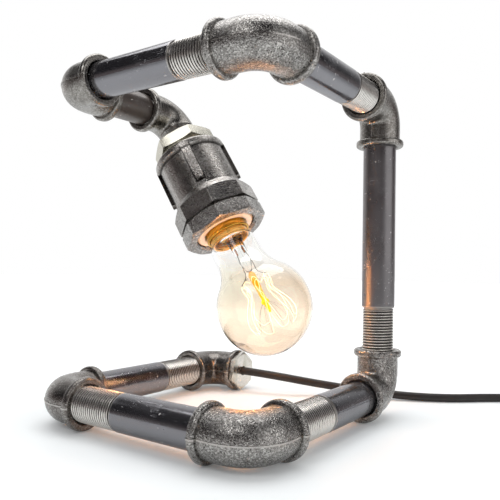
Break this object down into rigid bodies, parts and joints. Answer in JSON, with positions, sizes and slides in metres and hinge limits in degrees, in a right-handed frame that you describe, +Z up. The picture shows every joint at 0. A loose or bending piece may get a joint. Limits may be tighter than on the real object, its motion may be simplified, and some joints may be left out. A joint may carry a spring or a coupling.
{
  "type": "industrial pipe table lamp",
  "caption": "Table lamp built of black half-inch iron pipe and cast elbows, with a ribbed coupling holding a bare amber squirrel-cage bulb.",
  "frame": {"origin": "middle of the base's footprint, on the surface that the lamp stands on", "axes": "+Z up; +X along the front pipe from its left fitting to its right one; +Y from the front pipe towards the side where the cord leaves"},
  "size_m": [0.3687, 0.2713, 0.2208],
  "materials": {
    "casting": "satin",
    "pipe": "gloss",
    "nickel": "satin",
    "rubber": "matte",
    "cord": "satin",
    "black_plastic": "gloss",
    "steel": "satin",
    "brass": "satin",
    "porcelain": "gloss",
    "black_glass": "gloss",
    "core_brown": "satin",
    "core_blue": "satin",
    "core_green": "satin",
    "amber_glass": "gloss",
    "clear_glass": "gloss",
    "wire": "satin",
    "filament": "satin"
  },
  "bodies": {
    "base": {"back_left_elbow": "casting", "left_elbow": "casting", "front_elbow": "casting", "base_riser_elbow": "casting", "back_pipe": "pipe", "front_pipe": "pipe", "side_pipe": "pipe", "cord_gland": "nickel", "gland_seal": "rubber", "flex_base": "cord", "mains_cord": "cord", "switch_cord": "cord", "plug_cord": "cord", "cord_coil": "cord", "switch_base": "black_plastic", "switch_cover": "black_plastic", "switch_screws": "steel", "plug_body": "black_plastic", "plug_pins": "steel", "plug_earth_strips": "steel"},
    "arm": {"upright_pipe": "pipe", "top_corner_elbow": "casting", "top_side_pipe": "pipe", "top_front_elbow": "casting", "top_front_pipe": "pipe", "top_left_elbow": "casting", "head_nipple": "pipe", "flex_arm": "cord"},
    "head": {"street_elbow": "casting", "head_hex_bush": "nickel", "ribbed_coupling": "casting", "octagon_bush": "casting", "lampholder_porcelain": "porcelain", "screw_shell": "brass", "centre_contact": "brass", "live_terminal": "brass", "neutral_terminal": "brass", "holder_screws": "steel", "earth_screw": "steel", "flex_head": "cord", "core_live": "core_brown", "core_neutral": "core_blue", "core_earth": "core_green", "bulb_cap": "brass", "cap_insulator": "black_glass", "cap_contact": "brass", "bulb_glass": "amber_glass", "glass_stem": "clear_glass", "lead_wires": "wire", "filament_supports": "wire", "filament": "filament"},
    "rocker": {"switch_rocker": "black_plastic"}
  },
  "joints": [
    {"name": "arm_swing", "type": "hinge", "parent": "base", "child": "arm", "pos_m": [0.072, 0.0705, 0.05], "axis": [0, 0, 1], "range_deg": [-40, 40]},
    {"name": "head_tilt", "type": "hinge", "parent": "arm", "child": "head", "pos_m": [-0.071, 0.0175, 0.2054], "axis": [0, -1, 0], "range_deg": [-8, 35]},
    {"name": "rocker_press", "type": "hinge", "parent": "base", "child": "rocker", "pos_m": [0.193, 0.107, 0.012], "axis": [-1, 0, 0], "range_deg": [0, 18]}
  ]
}
